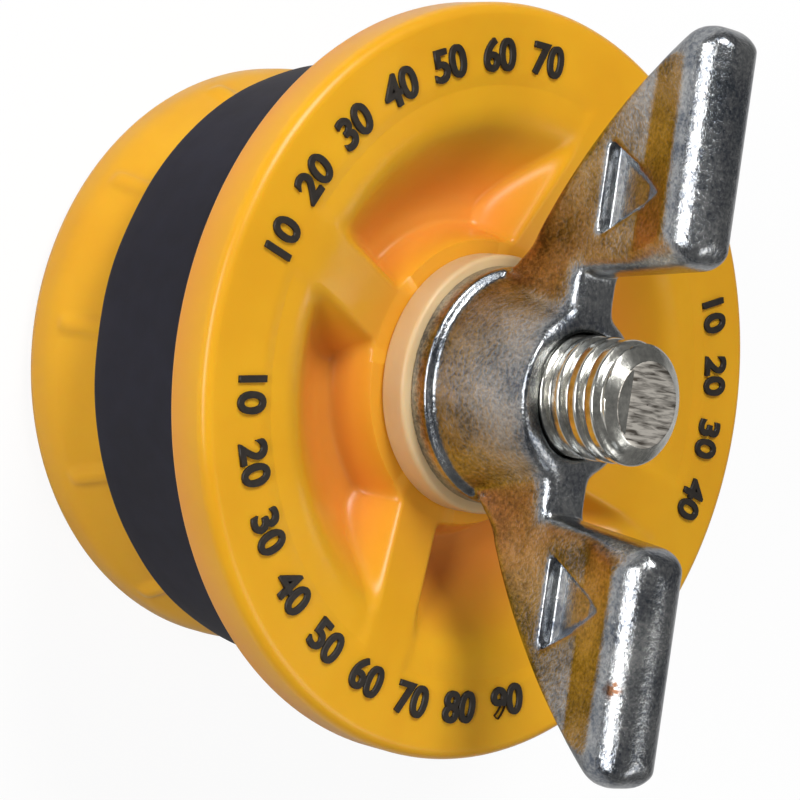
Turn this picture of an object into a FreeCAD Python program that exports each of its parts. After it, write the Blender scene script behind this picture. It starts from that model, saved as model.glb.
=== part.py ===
import FreeCAD, Part
import math
import os
import Sketcher

# Pipe expansion plug for the end of a 1.5 inch (40 mm class) pipe.
# The bolt stands on +Z with the wing nut on top, and the back plate's rear face lies on z = 0.
# A rubber ring is squeezed between two moulded plates when the wing nut is tightened.
# Lengths are millimetres and angles are degrees.

doc = FreeCAD.newDocument("pipe_expansion_plug")
sheet = doc.addObject("Spreadsheet::Sheet", "sizes")

SIZES = {
    # back plate
    "back_radius": 19.8,
    "back_rim_height": 3.4,
    "back_rim_rear_round": 1.9,
    "back_rim_front_round": 3.0,
    "back_cone_fall": 2.4,
    "back_cone_height": 5.0,
    "back_rib_count": 12,
    "back_rib_width": 0.9,
    "back_rib_stand": 0.35,
    "back_rib_root": 0.6,
    # spigots of both plates inside the rubber ring
    "spigot_height": 3.5,
    "spigot_round": 0.8,
    "spigot_gap": 0.3,
    # rubber ring
    "ring_radius": 20.2,
    "ring_bore_radius": 15.5,
    "ring_width": 12.9,
    "ring_chamfer": 0.45,
    # front plate
    "front_radius": 24.15,
    "front_rim_height": 3.2,
    "front_rim_front_round": 0.8,
    "front_rim_rear_round": 0.3,
    "rim_land_width": 6.3,
    "dish_round": 1.6,
    "dish_drop": 4.8,
    "dish_floor_width": 1.8,
    "dish_floor_round": 1.2,
    "hub_margin": 1.1,
    "hub_flare": 0.6,
    "hub_round": 0.5,
    "washer_land_drop": 2.2,
    "web_count": 4,
    "web_turn": 69.0,
    "web_top_half": 1.9,
    "web_inner_half": 3.7,
    "web_outer_half": 4.9,
    "web_root": 0.4,
    "web_foot_bite": 1.4,
    "web_top_inset": 2.2,
    "web_edge_break": 0.45,
    # nylon washer
    "washer_radius": 8.3,
    "washer_height": 2.0,
    "washer_chamfer": 0.25,
    # carriage bolt
    "bolt_radius": 3.9,
    "bolt_stand": 15.7,
    "bolt_end_chamfer": 0.8,
    "bolt_head_radius": 9.0,
    "bolt_head_height": 4.3,
    "bolt_head_edge": 0.8,
    "bolt_neck_width": 8.0,
    "bolt_neck_height": 4.8,
    "bolt_hole_clearance": 0.3,
    "neck_clearance": 0.15,
    "head_recess_gap": 0.9,
    "head_recess_depth": 5.2,
    "thread_clearance": 0.06,
    # wing nut
    "collar_radius": 7.6,
    "collar_height": 1.3,
    "collar_round": 0.35,
    "barrel_base_radius": 7.1,
    "barrel_top_radius": 5.2,
    "barrel_height": 7.5,
    "wing_reach": 22.95,
    "wing_height": 16.5,
    "wing_root_height": 1.5,
    "wing_root_reach": 6.6,
    "wing_inner_foot": 7.5,
    "wing_inner_top": 8.5,
    "wing_tip_height": 13.6,
    "wing_belly_radius": 40.0,
    "wing_tip_round": 2.0,
    "wing_corner_round": 2.0,
    "wing_half_thickness": 1.8,
    "wing_foot_half_thickness": 2.2,
    "grip_radius": 2.55,
    "grip_blend_drop": 2.6,
    "wing_edge_round": 2.0,
    "shoulder_reach": 8.7,
    "shoulder_foot_height": 2.8,
    "shoulder_drop": 0.6,
    "shoulder_half_width": 2.3,
    "shoulder_round": 0.8,
    "notch_inner": 9.85,
    "notch_outer": 15.7,
    "notch_foot_height": 8.4,
    "notch_rise": 4.6,
    "notch_depth": 1.0,
    "notch_tip_half": 0.15,
    "wing_spare": 1.0,
}
for row, (alias, value) in enumerate(SIZES.items(), start=1):
    sheet.set(f"A{row}", alias)
    sheet.set(f"B{row}", str(value))
    sheet.setAlias(f"B{row}", alias)
doc.recompute()

# Heights that several pieces share, worked out from the sizes above.
LEVELS = {
    "ring_seat": "back_rim_height + back_cone_height",
    "front_seat": "back_rim_height + back_cone_height + ring_width",
    "rim_top": "back_rim_height + back_cone_height + ring_width + front_rim_height",
}


def level(name):
    """A shared height as an expression on the sheet."""
    words = LEVELS[name].split(" ")
    return "(" + " ".join(w if w in "+-*/" else "sizes." + w for w in words) + ")"


RING_SEAT = level("ring_seat")
FRONT_SEAT = level("front_seat")
RIM_TOP = level("rim_top")
WASHER_SEAT = f"({RIM_TOP} - sizes.washer_land_drop)"
NUT_SEAT = f"({WASHER_SEAT} + sizes.washer_height)"
BOLT_END = f"({FRONT_SEAT} + sizes.bolt_stand)"
SPIGOT_RADIUS = "(sizes.ring_bore_radius - sizes.spigot_gap)"
BOLT_HOLE = "(sizes.bolt_radius + sizes.bolt_hole_clearance)"


def number(expression):
    """The value of an expression on the sheet."""
    return float(sheet.evalExpression(expression.replace("sizes.", "")))


def plane(body, role):
    for feature in body.Origin.OriginFeatures:
        if feature.Role == role:
            return feature
    raise ValueError(role)


def new_body(name):
    body = doc.addObject("PartDesign::Body", name)
    body.Label = name
    return body


def new_sketch(body, name, role, offset=None):
    sketch = body.newObject("Sketcher::SketchObject", name)
    sketch.AttachmentSupport = [(plane(body, role), "")]
    sketch.MapMode = "FlatFace"
    if offset is not None:
        sketch.setExpression(".AttachmentOffset.Base.z", offset)
    doc.recompute()
    return sketch


def pin_point(sketch, geometry, end, across, up):
    """Hold one end of a sketch line at two expressions, zero meaning an axis."""
    for kind, axis, expression in (("DistanceX", -2, across), ("DistanceY", -1, up)):
        if expression == "0":
            sketch.addConstraint(Sketcher.Constraint("PointOnObject", geometry, end, axis))
        else:
            value = number(expression)
            index = sketch.addConstraint(Sketcher.Constraint(kind, geometry, end, value))
            sketch.setExpression(f"Constraints[{index}]", expression)


def outline(sketch, points, arcs=None):
    """A closed outline through points given as expressions; arcs maps a side's number to its radius."""
    arcs = arcs or {}
    corners = [FreeCAD.Vector(number(a), number(b), 0) for a, b in points]
    ends = []
    for side, start in enumerate(corners):
        stop = corners[(side + 1) % len(corners)]
        if side in arcs:
            radius = number(arcs[side])
            middle = arc_middle(start, stop, radius)
            geometry = sketch.addGeometry(Part.Arc(start, middle, stop), False)
            turns_left = (middle - start).cross(stop - middle).z > 0
            ends.append((geometry, 1, 2) if turns_left else (geometry, 2, 1))
        else:
            geometry = sketch.addGeometry(Part.LineSegment(start, stop), False)
            ends.append((geometry, 1, 2))
    for side, (geometry, first, last) in enumerate(ends):
        after, after_first, _ = ends[(side + 1) % len(ends)]
        sketch.addConstraint(Sketcher.Constraint("Coincident", geometry, last, after, after_first))
        pin_point(sketch, geometry, first, *points[side])
        if side in arcs:
            radius = abs(number(arcs[side]))
            index = sketch.addConstraint(Sketcher.Constraint("Radius", geometry, radius))
            sketch.setExpression(f"Constraints[{index}]", f"abs({arcs[side]})")
    doc.recompute()


def arc_middle(start, stop, radius):
    """Middle of the arc from start to stop; a positive radius bulges to the right of the way."""
    chord = stop - start
    half = chord.Length / 2
    side = FreeCAD.Vector(chord.y, -chord.x, 0).normalize()
    rise = abs(radius) - math.sqrt(radius * radius - half * half)
    return (start + stop) * 0.5 + side * math.copysign(rise, radius)


def turn(body, name, points, arcs=None):
    """A solid turned about Z from a half section in the XZ plane."""
    sketch = new_sketch(body, name + "_section", "XZ_Plane")
    outline(sketch, points, arcs)
    feature = body.newObject("PartDesign::Revolution", name)
    feature.Profile = sketch
    feature.ReferenceAxis = (sketch, ["V_Axis"])
    feature.Angle = 360
    doc.recompute()
    return feature


def rounded(body, name, base, test, radius):
    """Fillet of the edges of the base that the test picks."""
    picked = [f"Edge{i}" for i, edge in enumerate(base.Shape.Edges, start=1) if test(edge)]
    feature = body.newObject("PartDesign::Fillet", name)
    feature.Base = (base, picked)
    feature.setExpression("Radius", radius)
    doc.recompute()
    return feature


def around_axis(body, name, feature, count):
    """Copies of a feature evenly round Z."""
    pattern = body.newObject("PartDesign::PolarPattern", name)
    pattern.Originals = [feature]
    pattern.Axis = (plane(body, "Z_Axis"), [""])
    pattern.Angle = 360
    pattern.setExpression("Occurrences", f"sizes.{count}")
    body.Tip = pattern
    doc.recompute()


CLOSE = 0.02


def near(first, second):
    return abs(first - second) < CLOSE


def circle_at(radius, height):
    """Test for the round edge about Z with a radius and a height."""
    wanted_radius = number(radius)
    wanted_height = number(height)

    def test(edge):
        if not isinstance(edge.Curve, Part.Circle):
            return False
        centre = edge.Curve.Center
        on_axis = near(centre.x, 0) and near(centre.y, 0)
        return on_axis and near(edge.Curve.Radius, wanted_radius) and near(centre.z, wanted_height)

    return test


# Back plate: a rounded rim, a ribbed cone under the rubber, a spigot inside it,
# and a recess behind for the bolt's head.
back_plate = new_body("back_plate")
NECK_HOLE = "(sizes.bolt_neck_width + 2 * sizes.neck_clearance)"
HEAD_RECESS = "(sizes.bolt_head_radius + sizes.head_recess_gap)"
BACK_SPIGOT_TOP = f"({RING_SEAT} + sizes.spigot_height)"
CONE_TOP = "(sizes.back_radius - sizes.back_cone_fall)"
back_turned = turn(back_plate, "back_turned", [
    ("0", "sizes.head_recess_depth"),
    (HEAD_RECESS, "sizes.head_recess_depth"),
    (HEAD_RECESS, "0"),
    ("sizes.back_radius", "0"),
    ("sizes.back_radius", "sizes.back_rim_height"),
    (CONE_TOP, RING_SEAT),
    (SPIGOT_RADIUS, RING_SEAT),
    (SPIGOT_RADIUS, BACK_SPIGOT_TOP),
    ("0", BACK_SPIGOT_TOP),
])
back_rear_round = rounded(
    back_plate, "back_rear_round", back_turned,
    circle_at("sizes.back_radius", "0"), "sizes.back_rim_rear_round",
)
back_front_round = rounded(
    back_plate, "back_front_round", back_rear_round,
    circle_at("sizes.back_radius", "sizes.back_rim_height"), "sizes.back_rim_front_round",
)
rounded(
    back_plate, "back_spigot_round", back_front_round,
    circle_at(SPIGOT_RADIUS, BACK_SPIGOT_TOP), "sizes.spigot_round",
)
neck_hole_sketch = new_sketch(back_plate, "neck_hole_sketch", "XY_Plane")
outline(neck_hole_sketch, [
    (f"(-{NECK_HOLE} / 2)", f"(-{NECK_HOLE} / 2)"),
    (f"({NECK_HOLE} / 2)", f"(-{NECK_HOLE} / 2)"),
    (f"({NECK_HOLE} / 2)", f"({NECK_HOLE} / 2)"),
    (f"(-{NECK_HOLE} / 2)", f"({NECK_HOLE} / 2)"),
])
neck_hole = back_plate.newObject("PartDesign::Pocket", "neck_hole")
neck_hole.Profile = neck_hole_sketch
neck_hole.Type = "ThroughAll"
neck_hole.Reversed = True
doc.recompute()
back_rib_section = new_sketch(back_plate, "back_rib_section", "XZ_Plane")
RIB_FOOT = "(sizes.back_rim_height - sizes.back_rib_root)"
outline(back_rib_section, [
    (f"({CONE_TOP} - sizes.back_rib_root)", RIB_FOOT),
    ("(sizes.back_radius - sizes.back_rib_root)", RIB_FOOT),
    ("sizes.back_radius", "sizes.back_rim_height"),
    (f"({CONE_TOP} + sizes.back_rib_stand)", RING_SEAT),
    (f"({CONE_TOP} - sizes.back_rib_root)", RING_SEAT),
])
back_rib = back_plate.newObject("PartDesign::Pad", "back_rib")
back_rib.Profile = back_rib_section
back_rib.Midplane = True
back_rib.setExpression("Length", "sizes.back_rib_width")
doc.recompute()
around_axis(back_plate, "back_ribs", back_rib, "back_rib_count")

# Rubber ring: a plain moulded band with slightly broken edges.
sealing_ring = new_body("sealing_ring")
turn(sealing_ring, "ring_turned", [
    ("sizes.ring_bore_radius", RING_SEAT),
    ("(sizes.ring_radius - sizes.ring_chamfer)", RING_SEAT),
    ("sizes.ring_radius", f"({RING_SEAT} + sizes.ring_chamfer)"),
    ("sizes.ring_radius", f"({FRONT_SEAT} - sizes.ring_chamfer)"),
    ("(sizes.ring_radius - sizes.ring_chamfer)", FRONT_SEAT),
    ("sizes.ring_bore_radius", FRONT_SEAT),
])

# Front plate: a flange that stops on the pipe's end, a deep dish round the washer's hub,
# webs that bridge the dish, and a spigot inside the rubber.
front_plate = new_body("front_plate")
FRONT_SPIGOT_END = f"({FRONT_SEAT} - sizes.spigot_height)"
DISH_RADIUS = "(sizes.front_radius - sizes.rim_land_width)"
DISH_FLOOR = f"({RIM_TOP} - sizes.dish_drop)"
HUB_TOP = "(sizes.washer_radius + sizes.hub_margin)"
HUB_FOOT = f"({HUB_TOP} + sizes.hub_flare)"
FLOOR_OUTER = f"({HUB_FOOT} + sizes.dish_floor_width)"
front_turned = turn(front_plate, "front_turned", [
    (BOLT_HOLE, FRONT_SPIGOT_END),
    (SPIGOT_RADIUS, FRONT_SPIGOT_END),
    (SPIGOT_RADIUS, FRONT_SEAT),
    ("sizes.front_radius", FRONT_SEAT),
    ("sizes.front_radius", RIM_TOP),
    (DISH_RADIUS, RIM_TOP),
    (FLOOR_OUTER, DISH_FLOOR),
    (HUB_FOOT, DISH_FLOOR),
    (HUB_TOP, WASHER_SEAT),
    (BOLT_HOLE, WASHER_SEAT),
])
front_rim_round = rounded(
    front_plate, "front_rim_round", front_turned,
    circle_at("sizes.front_radius", RIM_TOP), "sizes.front_rim_front_round",
)
front_rear_round = rounded(
    front_plate, "front_rear_round", front_rim_round,
    circle_at("sizes.front_radius", FRONT_SEAT), "sizes.front_rim_rear_round",
)
front_spigot_round = rounded(
    front_plate, "front_spigot_round", front_rear_round,
    circle_at(SPIGOT_RADIUS, FRONT_SPIGOT_END), "sizes.spigot_round",
)
dish_round = rounded(
    front_plate, "dish_round", front_spigot_round, circle_at(DISH_RADIUS, RIM_TOP), "sizes.dish_round"
)
dish_floor_round = rounded(
    front_plate, "dish_floor_round", dish_round, circle_at(FLOOR_OUTER, DISH_FLOOR), "sizes.dish_floor_round"
)
rounded(
    front_plate, "hub_round", dish_floor_round, circle_at(HUB_TOP, WASHER_SEAT), "sizes.hub_round"
)


def web_outline(name, height, outer, inner_half, outer_half):
    """A tapered block across the dish, from inside the hub to inside the rim."""
    sketch = new_sketch(front_plate, name, "XY_Plane", height)
    inner = "sizes.washer_radius"
    outline(sketch, [
        (inner, f"(-{inner_half})"),
        (outer, f"(-{outer_half})"),
        (outer, outer_half),
        (inner, inner_half),
    ])
    return sketch


web_foot = web_outline(
    "web_foot", f"({DISH_FLOOR} - sizes.web_root)", f"({FLOOR_OUTER} + sizes.web_foot_bite)",
    "sizes.web_inner_half", "sizes.web_outer_half",
)
WEB_TOP_REACH = f"({DISH_RADIUS} - sizes.web_top_inset)"
WEB_TOP_HALF = "(sizes.web_top_half - sizes.web_edge_break)"
web_brow = web_outline(
    "web_brow", f"({WASHER_SEAT} - sizes.web_edge_break)", WEB_TOP_REACH,
    "sizes.web_top_half", "sizes.web_top_half",
)
web_top = web_outline("web_top", WASHER_SEAT, WEB_TOP_REACH, WEB_TOP_HALF, WEB_TOP_HALF)
for web_section in (web_foot, web_brow, web_top):
    web_section.setExpression(".AttachmentOffset.Rotation.Angle", "sizes.web_turn * 1 deg")
doc.recompute()
web = front_plate.newObject("PartDesign::AdditiveLoft", "web")
web.Profile = web_foot
web.Sections = [web_brow, web_top]
web.Ruled = True
doc.recompute()
around_axis(front_plate, "webs", web, "web_count")

# Nylon washer between the plate and the nut.
thrust_washer = new_body("thrust_washer")
turn(thrust_washer, "washer_turned", [
    (BOLT_HOLE, WASHER_SEAT),
    ("(sizes.washer_radius - sizes.washer_chamfer)", WASHER_SEAT),
    ("sizes.washer_radius", f"({WASHER_SEAT} + sizes.washer_chamfer)"),
    ("sizes.washer_radius", f"({NUT_SEAT} - sizes.washer_chamfer)"),
    ("(sizes.washer_radius - sizes.washer_chamfer)", NUT_SEAT),
    (BOLT_HOLE, NUT_SEAT),
])

# Carriage bolt: a domed head in the back plate's recess, a square neck that stops it turning,
# and a plain shank at the thread's outside size.
carriage_bolt = new_body("carriage_bolt")
HEAD_LOW = "(sizes.head_recess_depth - sizes.bolt_head_height)"
HEAD_EDGE = "(sizes.head_recess_depth - sizes.bolt_head_edge)"
DOME_RISE = "(sizes.bolt_head_height - sizes.bolt_head_edge)"
DOME_RADIUS = f"((sizes.bolt_head_radius ^ 2 + {DOME_RISE} ^ 2) / (2 * {DOME_RISE}))"
turn(carriage_bolt, "bolt_turned", [
    ("0", HEAD_LOW),
    ("sizes.bolt_head_radius", HEAD_EDGE),
    ("sizes.bolt_head_radius", "sizes.head_recess_depth"),
    ("sizes.bolt_radius", "sizes.head_recess_depth"),
    ("sizes.bolt_radius", f"({BOLT_END} - sizes.bolt_end_chamfer)"),
    ("(sizes.bolt_radius - sizes.bolt_end_chamfer)", BOLT_END),
    ("0", BOLT_END),
], {0: DOME_RADIUS})
neck_sketch = new_sketch(carriage_bolt, "neck_sketch", "XY_Plane", "(sizes.head_recess_depth)")
outline(neck_sketch, [
    ("(-sizes.bolt_neck_width / 2)", "(-sizes.bolt_neck_width / 2)"),
    ("(sizes.bolt_neck_width / 2)", "(-sizes.bolt_neck_width / 2)"),
    ("(sizes.bolt_neck_width / 2)", "(sizes.bolt_neck_width / 2)"),
    ("(-sizes.bolt_neck_width / 2)", "(sizes.bolt_neck_width / 2)"),
])
neck = carriage_bolt.newObject("PartDesign::Pad", "neck")
neck.Profile = neck_sketch
neck.setExpression("Length", "sizes.bolt_neck_height")
doc.recompute()

# Wing nut: a tapered barrel on a collar, a web to each wing, and wings with a thick grip on top.
wing_nut = new_body("wing_nut")
WING_TOP = f"({NUT_SEAT} + sizes.wing_height)"
WING_ROOT = f"({NUT_SEAT} + sizes.wing_root_height)"
BARREL_TOP = f"({NUT_SEAT} + sizes.barrel_height)"
BARREL_FOOT = f"({NUT_SEAT} + sizes.collar_height)"
GRIP_MIDDLE = f"({WING_TOP} - sizes.grip_radius)"
wing_sketch = new_sketch(wing_nut, "wing_sketch", "XZ_Plane")
outline(wing_sketch, [
    ("0", WING_ROOT),
    ("sizes.wing_root_reach", WING_ROOT),
    ("sizes.wing_reach", f"({NUT_SEAT} + sizes.wing_tip_height)"),
    ("sizes.wing_reach", WING_TOP),
    ("sizes.wing_inner_top", WING_TOP),
    ("sizes.wing_inner_foot", BARREL_TOP),
    ("0", BARREL_TOP),
], {1: "sizes.wing_belly_radius"})
wing = wing_nut.newObject("PartDesign::Pad", "wing")
wing.Profile = wing_sketch
wing.Midplane = True
wing.setExpression("Length", "2 * sizes.grip_radius")
doc.recompute()


def across_edge(x, height):
    """Test for the straight edge along Y at a place of the wing's outline."""
    wanted_x = number(x)
    wanted_height = number(height)

    def test(edge):
        box = edge.BoundBox
        along_y = near(box.XLength, 0) and near(box.ZLength, 0)
        return along_y and near(box.Center.x, wanted_x) and near(box.Center.z, wanted_height)

    return test


wing_top_corner = rounded(
    wing_nut, "wing_top_corner", wing, across_edge("sizes.wing_reach", WING_TOP), "sizes.wing_corner_round"
)
wing_tip_corner = rounded(
    wing_nut, "wing_tip_corner", wing_top_corner,
    across_edge("sizes.wing_reach", f"({NUT_SEAT} + sizes.wing_tip_height)"), "sizes.wing_tip_round",
)
wing_inner_corner = rounded(
    wing_nut, "wing_inner_corner", wing_tip_corner,
    across_edge("sizes.wing_inner_top", WING_TOP), "sizes.wing_corner_round",
)


def wing_face_outline(edge):
    """The outline of the wing's two flat faces, but not where the barrel swallows it."""
    box = edge.BoundBox
    on_face = near(box.YLength, 0) and near(abs(box.Center.y), number("sizes.grip_radius"))
    return on_face and box.XMin > number("sizes.wing_spare")


wing_rim_round = rounded(
    wing_nut, "wing_rim_round", wing_inner_corner, wing_face_outline, "sizes.wing_edge_round"
)
shoulder_sketch = new_sketch(wing_nut, "shoulder_sketch", "XZ_Plane")
outline(shoulder_sketch, [
    ("0", BARREL_FOOT),
    ("sizes.wing_root_reach", BARREL_FOOT),
    ("sizes.shoulder_reach", f"({NUT_SEAT} + sizes.shoulder_foot_height)"),
    ("sizes.shoulder_reach", f"({BARREL_TOP} - sizes.shoulder_drop)"),
    ("sizes.wing_inner_foot", BARREL_TOP),
    ("0", BARREL_TOP),
])
shoulder = wing_nut.newObject("PartDesign::Pad", "shoulder")
shoulder.Profile = shoulder_sketch
shoulder.Midplane = True
shoulder.setExpression("Length", "2 * sizes.shoulder_half_width")
doc.recompute()
BESIDE_WING = "(sizes.grip_radius + sizes.wing_spare)"
ABOVE_WING = f"({WING_TOP} + sizes.wing_spare)"
BELOW_WING = f"({WING_ROOT} - sizes.wing_spare)"
cheek_sketch = new_sketch(wing_nut, "cheek_sketch", "YZ_Plane")
outline(cheek_sketch, [
    ("0", WING_TOP),
    ("sizes.grip_radius", GRIP_MIDDLE),
    ("sizes.wing_half_thickness", f"({GRIP_MIDDLE} - sizes.grip_blend_drop)"),
    ("sizes.wing_foot_half_thickness", BELOW_WING),
    (BESIDE_WING, BELOW_WING),
    (BESIDE_WING, ABOVE_WING),
    ("0", ABOVE_WING),
], {0: "-sizes.grip_radius"})
cheek = wing_nut.newObject("PartDesign::Pocket", "cheek")
cheek.Profile = cheek_sketch
cheek.Type = "ThroughAll"
cheek.Reversed = True
doc.recompute()


def mirrored(body, name, features, role):
    """The same features on the other side of an origin plane."""
    mirror = body.newObject("PartDesign::Mirrored", name)
    mirror.Originals = features
    mirror.MirrorPlane = (plane(body, role), [""])
    body.Tip = mirror
    doc.recompute()


mirrored(wing_nut, "cheeks", [cheek], "XZ_Plane")

NOTCH_FOOT = f"({NUT_SEAT} + sizes.notch_foot_height)"
NOTCH_TIP = f"({NUT_SEAT} + sizes.notch_foot_height + sizes.notch_rise)"
TIP_BELOW_GRIP = f"({GRIP_MIDDLE} - {NOTCH_TIP})"
FACE_AT_TIP = (
    "(sizes.grip_radius - (sizes.grip_radius - sizes.wing_half_thickness)"
    f" * {TIP_BELOW_GRIP} / sizes.grip_blend_drop)"
)
NOTCH_MIDDLE = "((sizes.notch_inner + sizes.notch_outer) / 2)"
notch_foot_sketch = new_sketch(wing_nut, "notch_foot_sketch", "XY_Plane", NOTCH_FOOT)
outline(notch_foot_sketch, [
    ("sizes.notch_inner", "(sizes.notch_depth - sizes.wing_half_thickness)"),
    ("sizes.notch_inner", f"(-{BESIDE_WING})"),
    ("sizes.notch_outer", f"(-{BESIDE_WING})"),
    ("sizes.notch_outer", "(sizes.notch_depth - sizes.wing_half_thickness)"),
])
notch_tip_sketch = new_sketch(wing_nut, "notch_tip_sketch", "XY_Plane", NOTCH_TIP)
outline(notch_tip_sketch, [
    (f"({NOTCH_MIDDLE} - sizes.notch_tip_half)", f"(-{FACE_AT_TIP})"),
    (f"({NOTCH_MIDDLE} - sizes.notch_tip_half)", f"(-{BESIDE_WING})"),
    (f"({NOTCH_MIDDLE} + sizes.notch_tip_half)", f"(-{BESIDE_WING})"),
    (f"({NOTCH_MIDDLE} + sizes.notch_tip_half)", f"(-{FACE_AT_TIP})"),
])
notch = wing_nut.newObject("PartDesign::SubtractiveLoft", "notch")
notch.Profile = notch_foot_sketch
notch.Sections = [notch_tip_sketch]
notch.Ruled = True
doc.recompute()
mirrored(wing_nut, "notches", [notch], "XZ_Plane")
both_wings = wing_nut.newObject("PartDesign::Mirrored", "both_wings")
both_wings.TransformMode = "Whole shape"
both_wings.MirrorPlane = (plane(wing_nut, "YZ_Plane"), [""])
wing_nut.Tip = both_wings
doc.recompute()
barrel = turn(wing_nut, "barrel", [
    ("0", NUT_SEAT),
    ("sizes.collar_radius", NUT_SEAT),
    ("sizes.collar_radius", BARREL_FOOT),
    ("sizes.barrel_base_radius", BARREL_FOOT),
    ("sizes.barrel_top_radius", BARREL_TOP),
    ("0", BARREL_TOP),
])
rounded(
    wing_nut, "collar_round", barrel, circle_at("sizes.collar_radius", NUT_SEAT), "sizes.collar_round"
)
bore_sketch = new_sketch(wing_nut, "bore_sketch", "XZ_Plane")
THREAD_BORE = "(sizes.bolt_radius + sizes.thread_clearance)"
outline(bore_sketch, [
    ("0", f"({NUT_SEAT} - sizes.wing_spare)"),
    (THREAD_BORE, f"({NUT_SEAT} - sizes.wing_spare)"),
    (THREAD_BORE, f"({BARREL_TOP} + sizes.wing_spare)"),
    ("0", f"({BARREL_TOP} + sizes.wing_spare)"),
])
bore = wing_nut.newObject("PartDesign::Groove", "bore")
bore.Profile = bore_sketch
bore.ReferenceAxis = (bore_sketch, ["V_Axis"])
bore.Angle = 360
doc.recompute()


def shoulder_top_edge(edge):
    """The straight edges along the tops of the shoulders."""
    box = edge.BoundBox
    at_top = near(box.ZMin, number(BARREL_TOP)) and near(box.ZMax, number(BARREL_TOP))
    beside = near(box.YLength, 0) and box.XLength > number("sizes.shoulder_half_width")
    return at_top and beside and isinstance(edge.Curve, Part.Line)


rounded(wing_nut, "shoulder_rounds", bore, shoulder_top_edge, "sizes.shoulder_round")

bodies = [back_plate, sealing_ring, front_plate, thrust_washer, carriage_bolt, wing_nut]
for thing in doc.Objects:
    if "Invalid" in thing.State or "Error" in thing.State:
        raise RuntimeError(f"{thing.Name} failed: {thing.State}")
os.makedirs("parts", exist_ok=True)
for body in bodies:
    if body.Shape.isNull() or not body.Shape.isValid() or len(body.Shape.Solids) != 1:
        raise RuntimeError(f"{body.Label} is not one sound solid")
for body in bodies:
    body.Shape.exportStep(f"parts/{body.Label}.step")
    print(body.Label, round(body.Shape.Volume, 1))
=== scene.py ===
import math
import bpy
from mathutils import Matrix, Vector


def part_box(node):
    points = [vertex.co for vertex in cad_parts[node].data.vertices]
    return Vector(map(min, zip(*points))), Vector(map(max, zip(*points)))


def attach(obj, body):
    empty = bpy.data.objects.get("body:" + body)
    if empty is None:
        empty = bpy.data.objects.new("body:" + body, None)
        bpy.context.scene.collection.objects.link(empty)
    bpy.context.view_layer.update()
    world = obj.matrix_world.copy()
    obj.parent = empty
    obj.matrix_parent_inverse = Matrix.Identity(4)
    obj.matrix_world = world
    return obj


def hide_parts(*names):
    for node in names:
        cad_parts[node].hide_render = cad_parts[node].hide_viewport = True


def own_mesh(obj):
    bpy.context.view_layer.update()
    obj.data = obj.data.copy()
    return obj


# A pipe expansion plug standing on its back plate: two moulded yellow plates with a black rubber ring
# between them, drawn together by a zinc-plated wing nut on a carriage bolt. Lengths are metres.
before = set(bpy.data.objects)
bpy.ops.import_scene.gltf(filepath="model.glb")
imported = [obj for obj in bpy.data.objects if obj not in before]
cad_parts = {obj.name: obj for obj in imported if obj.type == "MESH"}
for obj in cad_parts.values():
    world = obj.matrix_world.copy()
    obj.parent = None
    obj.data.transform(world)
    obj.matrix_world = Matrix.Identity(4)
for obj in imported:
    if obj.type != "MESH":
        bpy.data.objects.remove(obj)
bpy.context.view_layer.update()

MM = 0.001
MERGE = 0.002 * MM
NEAR = 0.01 * MM
# Sides of the round pieces: small ones, the rubber ring, and the plates whose faces are shaped point by point.
SIDES = 192
RING_SIDES = 384
FINE_SIDES = 480
THREAD_SIDES = 120


def place(node, corner, axis):
    """One coordinate of a CAD node's lowest or highest corner."""
    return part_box(node)[corner][axis]


# Levels and radii that come from the CAD nodes.
RING_LOW = place("sealing_ring", 0, 2)
RING_HIGH = place("sealing_ring", 1, 2)
RING_RADIUS = place("sealing_ring", 1, 0)
BACK_RADIUS = place("back_plate", 1, 0)
FRONT_RADIUS = place("front_plate", 1, 0)
RIM_TOP = place("front_plate", 1, 2)
SPIGOT_END = place("front_plate", 0, 2)
WASHER_LOW = place("thrust_washer", 0, 2)
WASHER_HIGH = place("thrust_washer", 1, 2)
WASHER_RADIUS = place("thrust_washer", 1, 0)
BACK_TOP = place("back_plate", 1, 2)
BOLT_END = place("carriage_bolt", 1, 2)
BOLT_LOW = place("carriage_bolt", 0, 2)
HEAD_RADIUS = place("carriage_bolt", 1, 0)


def clear_selection():
    """Back to object mode with nothing selected."""
    if bpy.context.mode != "OBJECT":
        bpy.ops.object.mode_set(mode="OBJECT")
    bpy.ops.object.select_all(action="DESELECT")


def work_on(piece):
    """Make one piece the selected and active one."""
    clear_selection()
    bpy.context.view_layer.objects.active = piece
    piece.select_set(True)


def close_up():
    """Merge the doubles of the whole mesh in edit mode and turn its faces outwards."""
    bpy.ops.mesh.select_all(action="SELECT")
    bpy.ops.mesh.remove_doubles(threshold=MERGE)
    bpy.ops.mesh.normals_make_consistent(inside=False)


def settle(piece, name):
    """Put the piece's place in its mesh, with its object at the origin."""
    work_on(piece)
    bpy.ops.object.transform_apply(location=True, rotation=True, scale=True)
    piece.name = name
    piece.data.name = name
    return piece


def arc(centre_r, centre_z, radius, start, stop, steps=6):
    """Points (radius from the bolt, height) along a round stretch; angles from outward, in degrees."""
    points = []
    for step in range(steps + 1):
        angle = math.radians(start + (stop - start) * step / steps)
        points.append((centre_r + radius * math.cos(angle), centre_z + radius * math.sin(angle)))
    return points


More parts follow.
